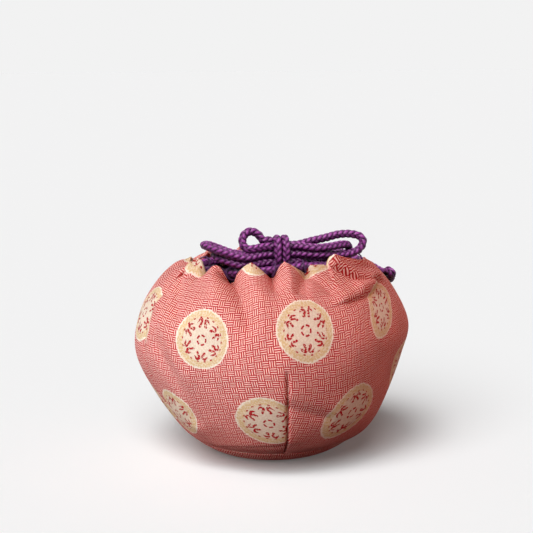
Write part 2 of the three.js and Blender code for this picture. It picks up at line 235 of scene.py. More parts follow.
creases = [
    fold(1.4, 2.6, (-71, .86), (-66, .81), (-62, .75), (-58, .69), (-55, .655)),
    fold(-1.1, 3.2, (-72, .97), (-69, .90)),  # the folded tip left of the bow
    fold(1.2, 2.0, (-61, .90), (-64, .85)),
    fold(1.4, 3.6, (-62, .50), (-52, .42), (-47, .36), (-46, .28)),
    fold(-1.3, 4.5, (-50, .96), (-40, .85), (-35, .73)),
    fold(2.3, 3.2, (-38, .99), (-30, .88), (-24.5, .80), (-20, .71), (-17, .65)),
    fold(-1.2, 4.5, (-17, .84), (-14, .76), (-13, .66)),
    fold(1.1, 2.2, (-7.5, .97), (-6.5, .84)),
    fold(1.1, 2.4, (12, .98), (6, .82)),
    fold(1.3, 2.4, (14, .95), (17, .88), (21.5, .81)),
    # the lapped pleat at the right, and the pillow below its edge
    fold(1.5, 1.8, (26.5, 1.0), (28, .95), (35, .897), (42.5, .843), (51, .817), (57.5, .803), step=2.2),
    fold(-2.0, 3.4, (41, .80), (52, .798)),
    fold(1.2, 1.8, (30, .737), (37, .745), (45.5, .757), (51.5, .775), (57, .797), step=1.8),
    fold(-0.9, 4.0, (-70, .66), (-55, .55), (-46, .42), (-46, .24)),
    fold(0.7, 2.0, (0, .343), (9, .315), (18, .288), step=0.5),
    fold(-2.4, 12.0, (-48, .27), (45, .27)),  # the filled front sags over the base
    fold(0.5, 1.2, (-37, .118), (-20, .15), (-3, .17), step=0.9),  # pull above the base seam
]
millimetresPerDegree, profileLength, stepReach = 0.8, 95, 6.0


def creaseDepth(degrees, rise):
    spot = np.stack(np.broadcast_arrays(degrees * millimetresPerDegree, rise * profileLength), -1)
    total = np.zeros(spot.shape[:-1])
    for crease in creases:
        knots = np.array(crease["path"]) * [millimetresPerDegree, profileLength]
        nearest, above = np.full(total.shape, 1e9), np.zeros(total.shape)
        for a, b in zip(knots[:-1], knots[1:]):
            share = np.clip((spot - a) @ (b - a) / ((b - a) @ (b - a)), 0, 1)
            away = spot - a - share[..., None] * (b - a)
            distance = np.linalg.norm(away, axis=-1)
            side = away @ unit(np.array([a[1] - b[1], b[0] - a[0]]))
            above = np.where(distance < nearest, side, above)
            nearest = np.minimum(nearest, distance)
        total = total + crease["depth"] * np.exp(-(nearest / crease["wide"]) ** 2)
        total = total - crease["step"] * smoothStep(above, -1, 1) * np.exp(-(nearest / stepReach) ** 2)
    return total


def clothPoint(degrees, rise):
    degrees, rise = np.broadcast_arrays(np.asarray(degrees, float), np.asarray(rise, float))
    edge, share = rimAt(degrees), gathered(rise)
    shifted = degrees + edge[..., 1] * share ** 5
    arc = np.radians(degrees - bag["dartLean"] * rise) * bag["dartRadius"]
    dart = sum(deep * np.exp(-(arc / wide) ** 2) for deep, wide in bag["dart"])
    dart = dart * (1 - smoothStep(rise, bag["dartFade"], bag["dartTop"])) * smoothStep(rise, 0, 0.06)
    # the two gores meet at a soft ridge
    keel = bag["keel"] * np.exp(-np.sqrt(arc ** 2 + bag["keelSoft"] ** 2) / bag["keelWide"])
    keel = keel * smoothStep(rise, 0, 0.25) * (1 - smoothStep(rise, 0.5, 0.85))
    lift = pleatRelief(degrees, rise) + keel - dart - creaseDepth(degrees, rise)
    for seam in (bag["leftSeam"], bag["rightSeam"]):
        away = np.radians(np.mod(degrees - seam + 180, 360) - 180) * bag["sideRadius"]
        lift = lift - bag["seamGroove"] * np.exp(-(away / bag["seamGrooveWide"]) ** 2)
    ripple = np.sin(np.radians(degrees) * 3 + rise * 5 + 0.6) * np.sin(np.radians(degrees) * 7 - rise * 9)
    lift = lift + bag["ripple"] * ripple * smoothStep(rise, 0, 0.15)
    point = smoothPoint(shifted, rise) + smoothNormal(shifted, rise) * lift[..., None]
    point[..., 2] += edge[..., 3] * share ** 2
    return point


# the drawcord: one endless braid, broken for the model at the hidden middle of the back
cordBow = {
    "diameter": 2.9, "lift": 1.2, "loopReach": 3.35,
    "knot": (-0.3, -25.9, 87.0), "knotHalf": 3.8, "pitch": 3.2, "knotGap": 0.3, "coreApart": 2.7,
    "small": [[-9.2, 2.1, 7.9], [-12.2, 1.8, 8.9], [-14.8, .8, 7.3], [-15.4, -.6, 4.6], [-13.8, -2, 2.6]],
    "smallRow": 1.6,  # the small loop leaves the knot this many rows up
    "leftOuter": [
        [-14.1, -3.4, -1], [-20.7, -2.3, .6], [-26, .7, 2.1], [-29.2, 4.7, 2.9], [-29.7, 9.3, 2.6],
        [-27.5, 13.1, 1.9], [-23.3, 14.5, .2], [-18.3, 12.9, -1.5], [-13, 8.2, -1.4]],
    "leftInner": [
        [-14.2, -3.2, -4.1], [-19.9, -1.8, -2.9], [-24, 1, -1.7], [-25.7, 4.4, -.9], [-25.3, 8, -1.4],
        [-22.6, 10.2, -3.4], [-18.1, 9.6, -5.4], [-12.6, 6.2, -5.2]],
    "right": [[12.8, 2, 4.5], [18.8, 3.3, 5.5], [24.3, 4.6, 6.5], [29.3, 4.9, 6.5], [32.9, 4.2, 5.5],
             [34, 3.4, 3.7], [32.5, 2.6, .8], [28, 1.6, -1], [22.2, 0, -1], [15.2, -2.8, -.5]],
    "backOut": [[13.9, 4.7, -3.6], [20.5, 15, -4.8], [26, 27, -5.6], [30, 36.5, -6]],
    "backHome": [[28.5, 40.5, -5], [24.9, 30, -3.8], [20.3, 17.9, -2.4], [14.9, 7.3, -.8]],
    "backLay": [
        (123, .93, 1.9), (120, .86, 1.9), (116, .80, 1.9), (112, .775, 1.9), (108, .755, 1.9),
        (104, .748, 2), (99.5, .755, 2.6), (95.5, .764, 3.2), (92.8, .753, 3.4), (95, .741, 2.8),
        (99, .722, 2), (104, .71, 1.9), (109, .705, 1.9), (114, .722, 1.9), (119, .75, 1.9),
        (124, .795, 1.9), (128, .86, 1.9), (130, .94, 1.9)],
    "upper": [
        [13.6, -3.2, 2.5], [19.5, -1.6, 2.6], [24.8, 1, 2.9], [27.8, 3.8, 2.1], [29, 6.8, -.4],
        [28.8, 9.4, -3.5], [29.5, 13, -5.8], [31.7, 18, -7.6]],
    "lower": [[24.4, -.4, -5.6], [23.6, 2.8, -6], [18.6, 3.6, -6.1], [13, .8, -5]],
    "wrapHigh": 6.0, "wrapDeep": 4.2, "wrapApart": 3.1, "wrapSquare": 2.5,
    "wrapCross": (110, 140),  # degrees where the second turn starts to cross over, and over how many
    "wrapIn": [[-3, -1.2, 2.6], [-2.1, -.2, 1], [-1.9, .6, -1.6], [-1.85, .9, -3.6]],
    "wrapOut": [[1.9, 2.4, .2], [2.3, .6, 1.2], [3, -.8, 2.4]],
    "endPlace": [180.6, 0, -3.6, 0],  # a place on the rim, under a thread loop
    "pathStep": 0.4, "strands": 4,  # strands each way round
    "braidPitch": 9.2, "strandWide": 0.84, "strandThick": 0.46, "braidRadius": 1.02, "braidWeave": 0.26,
    "strandSides": 6, "crownRadius": 1.72,
}


def between(s, start, end, first, second):
    return (end - s) / (end - start) * first + (s - start) / (end - start) * second


def smoothPath(points, step):
    p = np.asarray(points, float)
    p = np.vstack([2 * p[0] - p[1], p, 2 * p[-1] - p[-2]])
    t = np.concatenate([[0], np.cumsum(np.linalg.norm(np.diff(p, axis=0), axis=1) ** 0.5)])
    fine = []
    for i in range(1, len(p) - 2):
        t0, t1, t2, t3 = t[i - 1:i + 3]
        s = np.linspace(t1, t2, 40, endpoint=False)[:, None]
        a1 = between(s, t0, t1, p[i - 1], p[i])
        a2 = between(s, t1, t2, p[i], p[i + 1])
        a3 = between(s, t2, t3, p[i + 1], p[i + 2])
        b1, b2 = between(s, t0, t2, a1, a2), between(s, t1, t3, a2, a3)
        fine.append(between(s, t1, t2, b1, b2))
    fine = np.vstack(fine + [p[-2:-1]])
    run = np.concatenate([[0], np.cumsum(np.linalg.norm(np.diff(fine, axis=0), axis=1))])
    count = max(8, int(round(run[-1] / step)))
    at = np.linspace(0, run[-1], count + 1)
    return np.stack([np.interp(at, run, fine[:, k]) for k in range(3)], -1), run[-1]


def pathFrames(path):
    tangent = unit(np.gradient(path, axis=0))
    side = np.zeros_like(path)
    first = np.cross(tangent[0], [0.0, 0.3, 1.0])
    side[0] = first / np.linalg.norm(first)
    for i in range(1, len(path)):
        carried = side[i - 1] - tangent[i] * (side[i - 1] @ tangent[i])
        side[i] = carried / np.linalg.norm(carried)
    return side, np.cross(tangent, side)


def sweptRings(path, outward, wide, thick, sides):
    tangent = unit(np.gradient(path, axis=0))
    outward = unit(outward - tangent * np.sum(outward * tangent, axis=1, keepdims=True))
    turn = np.arange(sides) * 2 * np.pi / sides
    ring = np.cross(tangent, outward)[:, None] * (np.cos(turn) * wide)[:, None]
    return path[:, None] + ring + outward[:, None] * (np.sin(turn) * thick)[:, None]


knotCentre = np.array(cordBow["knot"])


def nearKnot(points):
    return [np.array(p) + knotCentre for p in points]


def knotLead(side, row, layer):
    reach = cordBow["knotHalf"]
    y, z = layer * cordBow["pitch"] / 2, row * cordBow["pitch"]
    outer, inner = reach + cordBow["diameter"], reach + cordBow["knotGap"]
    return nearKnot([[side * outer, y, z], [side * inner, y, z]])


def throughKnot(fromSide, row, layer, exitRow):
    apart = cordBow["coreApart"]
    middle = nearKnot([[0, layer * apart / 2, row * apart]])
    return knotLead(fromSide, row, layer) + middle + knotLead(-fromSide, exitRow, layer)[::-1]


def rimFrame(place):
    degrees, turn, out, up = place
    here, top = np.array(float(degrees + turn)), np.array(1.0)
    outward = smoothNormal(here, top)
    onward = unit(smoothPoint(here, top) - smoothPoint(here, top - 0.01))
    edge = smoothPoint(here, top) + outward * out + [0, 0, up]
    return edge + outward * cordBow["lift"] + onward * cordBow["loopReach"], outward, onward


def wrapPoints():
    points = []
    for turn in np.arange(-90, 541, 30):
        phase = math.radians(turn)
        start, over = cordBow["wrapCross"]
        shift = smoothStep(np.array((turn - start) / over), 0, 1)
        x = (float(shift) - 0.5) * cordBow["wrapApart"]
        c, s = math.cos(phase), math.sin(phase)
        square = cordBow["wrapSquare"]  # 2 is an ellipse, more is squarer
        reach = (abs(c) ** square + abs(s) ** square) ** (-1 / square)
        points.append([x, -cordBow["wrapDeep"] * c * reach, cordBow["wrapHigh"] * s * reach])
    return nearKnot(cordBow["wrapIn"] + points + cordBow["wrapOut"])


bow = {k: nearKnot(cordBow[k])
       for k in ("small", "leftOuter", "leftInner", "right", "backOut", "backHome", "upper", "lower")}


def onCloth(degrees, rise, off):  # a point of the cord that lies on the outside of the bag
    spot = np.array([degrees, degrees + 0.3, degrees]), np.array([rise, rise, rise + 0.01])
    here, beside, above = clothPoint(*spot)
    return here + unit(np.cross(beside - here, above - here)) * off


bow["back"] = bow["backOut"] + [onCloth(*place) for place in cordBow["backLay"]] + bow["backHome"]
front = [rimFrame(place)[0] for place in valleys[9:] + valleys[:6]]
rear = [rimFrame(place)[0] for place in valleys[6:9] + [cordBow["endPlace"]]]
route = front + bow["lower"] + throughKnot(1, -1, -1, -1)
route += bow["leftInner"] + throughKnot(-1, -1, 1, -1) + bow["back"]
route += throughKnot(1, 0, 1, 0) + bow["leftOuter"][::-1] + throughKnot(-1, 0, -1, 0) + bow["right"][::-1]
route += throughKnot(1, 1, 1, cordBow["smallRow"]) + bow["small"] + knotLead(-1, 1, -1)
route += wrapPoints() + knotLead(1, 1, -1)[::-1] + bow["upper"] + rear
cordPath, cordLength = smoothPath(route, cordBow["pathStep"])
print("cord route", round(cordLength, 1), "mm")


def braidPiece(name, path, length):
    sideways, upwards = pathFrames(path)
    rings, sides, each = len(path), cordBow["strandSides"], cordBow["strands"]
    run = np.linspace(0, length, rings)
    turn = 2 * np.pi * run / cordBow["braidPitch"]
    points, faces, depth, uv = [], [], [], []
    for strand in range(2 * each):
        way = 1 if strand < each else -1
        angle = 2 * np.pi * (strand + 0.25) / each + way * turn
        # each strand passes over two and under two
        radius = cordBow["braidRadius"] + way * np.sin(2 * angle) * cordBow["braidWeave"]
        outward = sideways * np.cos(angle)[:, None] + upwards * np.sin(angle)[:, None]
        wide, thick = cordBow["strandWide"], cordBow["strandThick"]
        tube = sweptRings(path + outward * radius[:, None], outward, wide, thick, sides)
        start = strand * rings * sides
        faces += gridFaces(rings, sides, loopAlong=True, start=start)
        last = start + (rings - 1) * sides
        faces += [list(range(start, start + sides)), list(range(last + sides - 1, last - 1, -1))]
        points.append(tube.reshape(-1, 3))
        # how far out from the cord's core each point lies; the cord's colour ramp turns this into painted
        # shade
        depth.append((np.linalg.norm(tube - path[:, None], axis=2) / cordBow["crownRadius"]).ravel())
        around = np.tile(np.arange(sides) / sides, rings) + strand
        uv.append(np.stack([np.repeat(run, sides) * uvPerMm, around], -1))
    values = {"depth": np.concatenate(depth)}
    return meshPiece(name, np.vstack(points), faces, "strand", np.vstack(uv), values)


drawcord = braidPiece("drawcord", cordPath, cordLength)
print("drawcord", len(drawcord.data.polygons), "faces")


# the two panels: outer face, rounded lip at the rim, inner face
panelMake = {"frontColumns": 380, "backColumns": 320, "rows": 201, "lipRows": 6, "lip": 0.9,
             "innerStep": 5, "edgeGap": 0.02, "rowPower": 1.25}  # rows lie closer towards the rim


def bellyTables():
    degrees = np.arange(-100, 301, 1.0)
    rises = np.linspace(0, 1, 201)
    grid = smoothPoint(degrees[:, None], rises[None, :])
    radius = np.hypot(grid[..., 0], grid[..., 1])
    fullest = radius.argmax(1)
    belly = grid[np.arange(len(degrees)), fullest]
    arc = np.concatenate([[0], np.cumsum(np.linalg.norm(np.diff(belly, axis=0), axis=1))])
    return degrees, arc - np.interp(0, degrees, arc), radius.max(1), rises[fullest]


bellyDegrees, bellyArc, bellyRadius, bellyRise = bellyTables()

# where the middles of the wheels lie on the flat cloth (across, up from the fullest line) and in the repeat
pattern = {
    "across": 43.0, "up": 37.3,
    "backOrigin": [273.4, 14.6], "backMiddle": 185.0, "leftGore": -38.0, "rightGore": 43.0,  # degrees
    "bendUnit": 100, "bendEase": 0.004,
    "places": [
        [-81, 12, -1, 0], [-36.9, 9.3, 0, 0], [-49.2, 9.3, -.279, 0], [-25.6, 8.8, .279, 0],
        [5.4, 13.4, 1, 0], [-6.5, 13.7, .721, 0], [16.9, 12.6, 1.279, 0], [7.3, 26.2, 1, .322],
        [48.5, 14.2, 2, 0], [40.5, 15.2, 1.721, 0], [56.4, 13.4, 2.279, 0], [57, 23, 2, .29],
        [42, 2.6, 2, -.322], [-54.8, -26.4, -.5, -1], [-12.5, -23.3, .5, -1], [-25.6, -22.7, .221, -1],
        [-12.2, -11.2, .5, -.678], [-13.7, -32.8, .5, -1.322], [32.3, -25.3, 1.5, -1],
        [18.6, -24.9, 1.221, -1], [43.4, -22, 1.779, -1], [30.5, -12.6, 1.5, -.678],
        [28.8, -35.4, 1.5, -1.322], [64, -13, 2.5, -1], [-68.6, 48, -.5, 1], [-22.1, 47, .5, 1],
        [8, 43.5, 1.5, 1], [62, 50, 2.5, 1]],
}


def flatCloth(degrees, rise, goreMiddles):
    base = smoothPoint(degrees, rise)
    steps = np.linalg.norm(np.diff(base, axis=1), axis=2)
    run = np.concatenate([np.zeros((len(base), 1)), np.cumsum(steps, axis=1)], axis=1)
    fullest = np.interp(degrees[:, 0], bellyDegrees, bellyRise)
    atBelly = np.array([np.interp(f, r, s) for f, r, s in zip(fullest, rise, run)])
    up = run - atBelly[:, None]
    ratio = np.hypot(base[..., 0], base[..., 1]) / np.interp(degrees, bellyDegrees, bellyRadius)
    ratio = np.where(up < 0, np.minimum(ratio, 1), 1)
    middle = np.interp(goreMiddles, bellyDegrees, bellyArc)
    across = middle + ratio * (np.interp(degrees, bellyDegrees, bellyArc) - middle)
    return across, up


def bendPattern(across, up, places):
    known = np.array(places, float)
    spot = known[:, :2]
    goal = known[:, 2:] * [pattern["across"], pattern["up"]]
    reach = pattern["bendUnit"]
    gap = np.linalg.norm(spot[:, None] - spot[None], axis=2) / reach
    with np.errstate(divide="ignore", invalid="ignore"):
        kernel = np.where(gap > 0, gap ** 2 * np.log(gap), 0)
    n = len(spot)
    level = np.hstack([np.ones((n, 1)), spot / reach])
    system = np.block([[kernel + np.eye(n) * pattern["bendEase"], level], [level.T, np.zeros((3, 3))]])
    weight = np.linalg.solve(system, np.vstack([goal, np.zeros((3, 2))]))
    flat = np.stack([across.ravel(), up.ravel()], -1)
    far = np.linalg.norm(flat[:, None] - spot[None], axis=2) / reach
    with np.errstate(divide="ignore", invalid="ignore"):
        pull = np.where(far > 0, far ** 2 * np.log(far), 0)
    bent = pull @ weight[:n] + np.hstack([np.ones((len(flat), 1)), flat / reach]) @ weight[n:]
    return bent.reshape(across.shape + (2,))


def panelPiece(name, first, last, columns, isFront):
    rows, lipRows, thickness = panelMake["rows"], panelMake["lipRows"], bag["clothThickness"]
    edge = math.degrees(panelMake["edgeGap"] / bag["dartRadius"])
    degrees = np.linspace(first + edge, last - edge, columns)[:, None]
    rise = (1 - (1 - np.linspace(0, 1, rows)) ** panelMake["rowPower"])[None, :]
    degreesGrid, riseGrid = np.broadcast_arrays(degrees, rise)
    outer = clothPoint(degreesGrid, riseGrid)
    up = np.gradient(outer, axis=1)
    normal = unit(np.cross(np.gradient(outer, axis=0), up))
    inner = outer - normal * thickness
    turn = np.linspace(0, np.pi, lipRows + 2)[1:-1, None]  # the cloth turns over in a soft roll at the rim
    roll = normal[:, None, -1] * np.cos(turn) * thickness / 2
    roll = roll + unit(up[:, None, -1]) * np.sin(turn) * panelMake["lip"]
    lip = (outer[:, -1] + inner[:, -1])[:, None] / 2 + roll
    step = panelMake["innerStep"]  # the hidden inner face needs fewer rows
    section = np.concatenate([outer, lip, inner[:, ::-step]], axis=1)
    count = section.shape[1]
    faces = gridFaces(columns, count, loopAlong=True)
    far = (columns - 1) * count
    for low in range(0, rows - 1, step):  # close the cloth's edge at both seams
        high = count - 1 - low // step
        ring = list(range(low, low + step + 1)) + [high - 1, high]
        faces += [ring, [far + i for i in ring[::-1]]]
    top = list(range(rows - 1, rows + lipRows + 1))
    faces += [top, [far + i for i in top[::-1]]]
    weave = clothWeave(degreesGrid, riseGrid, isFront)
    lipWeave = weave[:, -1:] + turn * [0, panelMake["lip"]]
    uv = np.concatenate([weave, lipWeave, weave[:, ::-step]], axis=1).reshape(-1, 2) * uvPerMm
    return meshPiece(name, section.reshape(-1, 3), faces, "weave", uv)


def clothWeave(degrees, rise, isFront):
    if not isFront:
        across, up = flatCloth(degrees, rise, np.full(degrees.shape, pattern["backMiddle"]))
        return np.stack([across, up], -1) - pattern["backOrigin"]
    isLeft = degrees < bag["dartLean"] * rise
    across, up = flatCloth(degrees, rise, np.where(isLeft, pattern["leftGore"], pattern["rightGore"]))
    whole, _ = flatCloth(degrees, rise, np.zeros(degrees.shape))
    # above the dart the cloth is in one piece
    near = np.exp(-(degrees / 30) ** 2) * smoothStep(rise, 0.3, 0.5)
    return bendPattern(across * (1 - near) + whole * near, up, pattern["places"])


frontCloth = panelPiece("front_cloth", bag["leftSeam"], bag["rightSeam"], panelMake["frontColumns"], True)
backCloth = panelPiece("back_cloth", bag["rightSeam"], bag["leftSeam"] + 360, panelMake["backColumns"], False)
print("panels", len(frontCloth.data.polygons), len(backCloth.data.polygons), "faces")

# round base piece, sewn to the panels
baseMake = {"flat": 20.0, "rows": 24, "columns": 160, "rings": (5, 12), "wheel": [0, -8]}  # mm


def baseCurve(height, count):
    slope = math.radians(bag["seamSlope"])
    bend = bag["seamRadius"] - bag["seamHeight"] / math.tan(slope)
    flat = np.array([baseMake["flat"], height])
    knee = np.array([bend - height * math.tan(slope / 2), height])
    seam = np.array([bag["seamRadius"] - math.sin(slope) * height,
                     bag["seamHeight"] + math.cos(slope) * height])
    t = np.linspace(0, 1, count)[:, None]
    return (1 - t) ** 2 * flat + 2 * t * (1 - t) * knee + t ** 2 * seam


def turned(section, degrees):
    turn = np.radians(degrees)
    x, y = section[None, :, 0] * np.sin(turn), -section[None, :, 0] * np.cos(turn)
    return np.stack([x, y, np.broadcast_to(section[None, :, 1], x.shape)], -1)


def shellPiece(name, section):
    columns, rows = section.shape[:2]
    points = np.vstack([section.reshape(-1, 3), section[:, 0].mean(0), section[:, -1].mean(0)])
    faces = gridFaces(columns, rows, loopAcross=True)
    # both faces close at the middle
    for end, centre in ((0, columns * rows), (rows - 1, columns * rows + 1)):
        ring = [c * rows + end for c in range(columns)]
        fan = [[centre, ring[(c + 1) % columns], ring[c]] for c in range(columns)]
        faces += fan if end == 0 else [f[::-1] for f in fan]
    return meshPiece(name, points, faces, "weave", (points[:, :2] - baseMake["wheel"]) * uvPerMm)


baseDegrees = np.arange(baseMake["columns"])[:, None] * 360 / baseMake["columns"]
baseTop = bag["clothThickness"]
lowRings, highRings = [[[radius, z] for radius in baseMake["rings"]] for z in (0, baseTop)]
baseSection = np.vstack([lowRings, baseCurve(0, baseMake["rows"]),
                         baseCurve(baseTop, baseMake["rows"])[::-1], highRings[::-1]])
baseCloth = shellPiece("base_cloth", turned(baseSection, baseDegrees))

# plain dark lining, a bag of its own inside
liningMake = {"columns": 300, "rows": 60, "bottom": 0.04, "top": 0.955, "thickness": 0.8,
              "ease": 0.7, "slack": 3.6, "baseRows": 8, "dart": 1.6, "dartWide": 4.0}  # the last in degrees


def liningPoint(degrees, rise, inset):
    gather = (pleatRelief(degrees, rise) - liningMake["slack"] * gathered(rise) ** bag["pleatPower"]) / 2
    dart = liningMake["dart"] * np.exp(-(degrees / liningMake["dartWide"]) ** 2)
    dart = dart * (1 - smoothStep(rise, 0, bag["dartTop"]))
    lift = gather - dart - creaseDepth(degrees, rise) - bag["clothThickness"] - liningMake["ease"] - inset
    return smoothPoint(degrees, rise) + smoothNormal(degrees, rise) * lift[..., None]


liningDegrees = np.arange(liningMake["columns"])[:, None] * 360 / liningMake["columns"] - 90
liningRise = np.linspace(liningMake["bottom"], liningMake["top"], liningMake["rows"])[None, :]
liningGrid = np.broadcast_arrays(liningDegrees, liningRise)
liningFloor = bag["clothThickness"] + liningMake["ease"]
liningTop = liningFloor + liningMake["thickness"]
lining = shellPiece("lining_cloth", np.concatenate([
    turned(baseCurve(liningFloor, liningMake["baseRows"])[:-1], liningDegrees), liningPoint(*liningGrid, 0.0),
    liningPoint(*liningGrid, liningMake["thickness"])[:, ::-1],
    turned(baseCurve(liningTop, liningMake["baseRows"])[:-1][::-1], liningDegrees)], axis=1))
print("base and lining", len(baseCloth.data.polygons), len(lining.data.polygons), "faces")

# thin two-ply thread loops that carry the cord, one in each valley of the rim
threadMake = {"ply": 0.2, "plyApart": 0.18, "twist": 2.2, "radius": 2.55, "steps": 96, "sides": 6,
              # degrees that each is pulled askew
              "turns": [20, -25, 30, -15, 25, 10, -20, 15, -25, 20, -10, 25]}


def threadLoop(name, place, askew):
    centre, outward, onward = rimFrame(place)
    axis = np.cross(outward, onward)
    lean = math.radians(askew)
    outward = outward * math.cos(lean) + axis * math.sin(lean)
    axis = np.cross(outward, onward)
    steps, sides = threadMake["steps"], threadMake["sides"]
    t = np.arange(steps)[:, None] * 2 * np.pi / steps
    away = outward * np.cos(t) + onward * np.sin(t)
    twists = round(2 * np.pi * threadMake["radius"] / threadMake["twist"])
    around = np.arange(sides) * 2 * np.pi / sides
    points, faces = [], []
    for ply in range(2):
        phase = t * twists + ply * np.pi
        line = centre + away * (threadMake["radius"] + np.cos(phase) * threadMake["plyApart"]) \
            + axis * np.sin(phase) * threadMake["plyApart"]
        tangent = unit(np.roll(line, -1, 0) - np.roll(line, 1, 0))
        side = unit(away - tangent * np.sum(away * tangent, 1, keepdims=True))
        ring = np.cross(tangent, side)[:, None] * np.cos(around)[:, None]
        ring = ring + side[:, None] * np.sin(around)[:, None]
        points.append((line[:, None] + ring * threadMake["ply"]).reshape(-1, 3))
        faces += gridFaces(steps, sides, True, True, ply * steps * sides)
    return meshPiece(name, np.vstack(points), faces)


threads = []
for i, (place, askew) in enumerate(zip(valleys, threadMake["turns"])):
    threads.append(threadLoop("rim_thread_%d" % (i + 1), place, askew))
print("rim threads", len(threads))

# silk brocade: a red and white basket weave ground with woven wheels of cream and gold, matt with a
# faint sheen; the pale threads lie proud of the red
brocade = {
    "cellWide": 2.7, "cellHigh": 2.62, "threads": 3,  # mm, the basket weave, and pale threads to a cell
    "red": "#C8383A", "deepRed": "#B32B2F", "pale": "#FDE0D7", "dimPale": "#F2C5BA",
    "wheel": 12.0, "cream": "#F8EEDF", "beige": "#E6D3BE", "gold": "#DFBF8E", "mark": "#B0282C",
    "curlRing": 6.7, "specks": 8.9, "hub": 1.9, "groups": 6, "relief": 0.12,
    "threadEnd": (0.02, 0.22),  # mm from the cell's edge where a pale thread starts and is full
    "curlAt": (1.55, 0.35, 0), "curlSize": 0.9, "curlLine": 0.48, "gapAt": (2.3, -0.3, 0), "gapSize": 0.75,
    "footAt": (1.3, -1.2, 0), "footSize": 0.62, "speckCount": 18.0, "speckLine": 0.28,
    "dashCount": 5.0, "hubLine": 0.36, "ribPitch": 0.55, "weftPitch": 0.62,
    "shadeReach": 45, "shadeTint": (0.8, 0.56, 0.5, 1),
}
clothMaterial, tree, shader = newMaterial("silk_brocade")
uvMap = addNode(tree, "UVMap", uv_map="weave")
flat = addNode(tree, "VectorMath", {0: uvMap, "Scale": 1 / uvPerMm}, operation="SCALE")
shake = addNode(tree, "TexNoise", {"Vector": flat, "Scale": 0.3, "Detail": 1.0}, out="Color")
shake = addNode(tree, "VectorMath", {0: shake, 1: (0.5, 0.5, 0.5)}, operation="SUBTRACT")
woven = addNode(tree, "VectorMath", {0: shake, 1: (0.25, 0.25, 0), 2: flat}, operation="MULTIPLY_ADD")
split = addNode(tree, "SeparateXYZ", {0: woven}, out=None)
x, y = split.outputs[0], split.outputs[1]
fine = addNode(tree, "TexNoise", {"Vector": flat, "Scale": 1.3, "Detail": 2.0})  # thread by thread unevenness
broad = addNode(tree, "TexNoise", {"Vector": flat, "Scale": 0.09, "Detail": 2.0})

# which cell of the checkerboard, and where in it
cellX = maths(tree, "DIVIDE", x, brocade["cellWide"])
cellY = maths(tree, "DIVIDE", y, brocade["cellHigh"])
countX = maths(tree, "FLOOR", cellX)
countY = maths(tree, "FLOOR", cellY)
count = maths(tree, "ADD", countX, countY)
upright = maths(tree, "PINGPONG", count, 1.0)
inX = maths(tree, "SUBTRACT", cellX, countX)
inY = maths(tree, "SUBTRACT", cellY, countY)
inX = maths(tree, "MULTIPLY_ADD", inX, brocade["cellWide"], -brocade["cellWide"] / 2)
inY = maths(tree, "MULTIPLY_ADD", inY, brocade["cellHigh"], -brocade["cellHigh"] / 2)
farX = maths(tree, "ABSOLUTE", inX)
farY = maths(tree, "ABSOLUTE", inY)


# three lying threads in one cell, three upright ones in the next
def threadLines(across, cell, along, otherCell):
    wave = maths(tree, "MULTIPLY", across, 2 * math.pi * brocade["threads"] / cell)
    wave = maths(tree, "COSINE", wave)
    wave = addNode(tree, "MapRange", {0: wave, 1: -0.1, 2: 0.6}, interpolation_type="SMOOTHSTEP")
    starts, full = [otherCell / 2 - share for share in brocade["threadEnd"]]
    end = addNode(tree, "MapRange", {0: along, 1: starts, 2: full})
    return maths(tree, "MULTIPLY", wave, end)


bars = threadLines(inY, brocade["cellHigh"], farX, brocade["cellWide"])
posts = threadLines(inX, brocade["cellWide"], farY, brocade["cellHigh"])
lines = addNode(tree, "Mix", {0: upright, 2: bars, 3: posts}, data_type="FLOAT")
redTone = blend(tree, fine, linear(brocade["deepRed"]), linear(brocade["red"]))
paleTone = blend(tree, fine, linear(brocade["dimPale"]), linear(brocade["pale"]))
ground = blend(tree, lines, redTone, paleTone)

# wheels stand in rows, every second row moved half a repeat along
halfAcross, up = pattern["across"] / 2, pattern["up"]
rowX = maths(tree, "WRAP", x, halfAcross, -halfAcross)
rowY = maths(tree, "WRAP", y, up, -up)
nextX = maths(tree, "ADD", x, halfAcross)
nextX = maths(tree, "WRAP", nextX, halfAcross, -halfAcross)
nextY = maths(tree, "ADD", y, up)
nextY = maths(tree, "WRAP", nextY, up, -up)
rowSpot = addNode(tree, "CombineXYZ", {0: rowX, 1: rowY})
nextSpot = addNode(tree, "CombineXYZ", {0: nextX, 1: nextY})
rowFar = addNode(tree, "VectorMath", {0: rowSpot}, out="Value", operation="LENGTH")
nextFar = addNode(tree, "VectorMath", {0: nextSpot}, out="Value", operation="LENGTH")
nearer = maths(tree, "LESS_THAN", rowFar, nextFar)
spot = addNode(tree, "Mix", {0: nearer, 4: nextSpot, 5: rowSpot}, out=1, data_type="VECTOR")
spotParts = addNode(tree, "SeparateXYZ", {0: spot}, out=None)
radius = maths(tree, "MINIMUM", rowFar, nextFar)
angle = maths(tree, "ARCTAN2", spotParts.outputs[1], spotParts.outputs[0])
stepped = maths(tree, "MULTIPLY_ADD", fine, 1.5, -0.75)
stepped = maths(tree, "ADD", radius, stepped)  # edges step from thread to thread
wheel = addNode(tree, "MapRange", {0: stepped, 1: brocade["wheel"] + 0.15, 2: brocade["wheel"] - 0.15},
                interpolation_type="SMOOTHSTEP")
zone = maths(tree, "DIVIDE", stepped, brocade["wheel"])
zones = addNode(tree, "ValToRGB", {0: zone}, out=None)
beige, gold, cream = [brocade[name] for name in ("beige", "gold", "cream")]
fillRamp(zones.color_ramp, [(0, beige), (0.7, beige), (0.76, gold), (0.93, gold), (0.97, cream), (1, cream)])
mottle = addNode(tree, "TexNoise", {"Vector": flat, "Scale": 1.3, "Detail": 3.0})
mottle = addNode(tree, "MapRange", {0: mottle, 1: 0.42, 2: 0.62, 4: 0.55}, interpolation_type="SMOOTHSTEP")
disc = blend(tree, mottle, zones.outputs[0], linear(brocade["cream"]))

